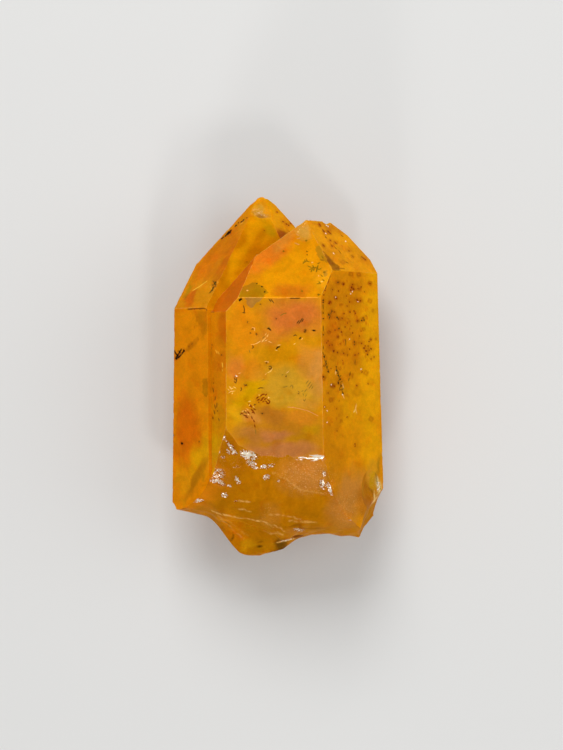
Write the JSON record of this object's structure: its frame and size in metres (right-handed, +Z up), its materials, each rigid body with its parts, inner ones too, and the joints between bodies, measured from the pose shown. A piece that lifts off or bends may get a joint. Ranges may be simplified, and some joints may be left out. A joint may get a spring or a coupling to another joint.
{
  "type": "golden healer quartz",
  "caption": "Golden orange quartz with two parallel six-sided points grown side by side, pyramid tips and a broken, shell-like base, lying on a flat back face.",
  "frame": {"origin": "bottom centre of the bounding box, on the surface that the crystal lies on", "axes": "+Y along the crystals' long axis, from the broken base to the tips; +Z up, out of the large front prism face; +X to the right of that face"},
  "size_m": [0.0394, 0.0674, 0.032],
  "materials": {
    "golden_quartz": "natural crystal faces with an iron oxide film, satin; waxy where broken"
  },
  "bodies": {
    "root": {"quartz_points": "golden_quartz"}
  },
  "joints": []
}
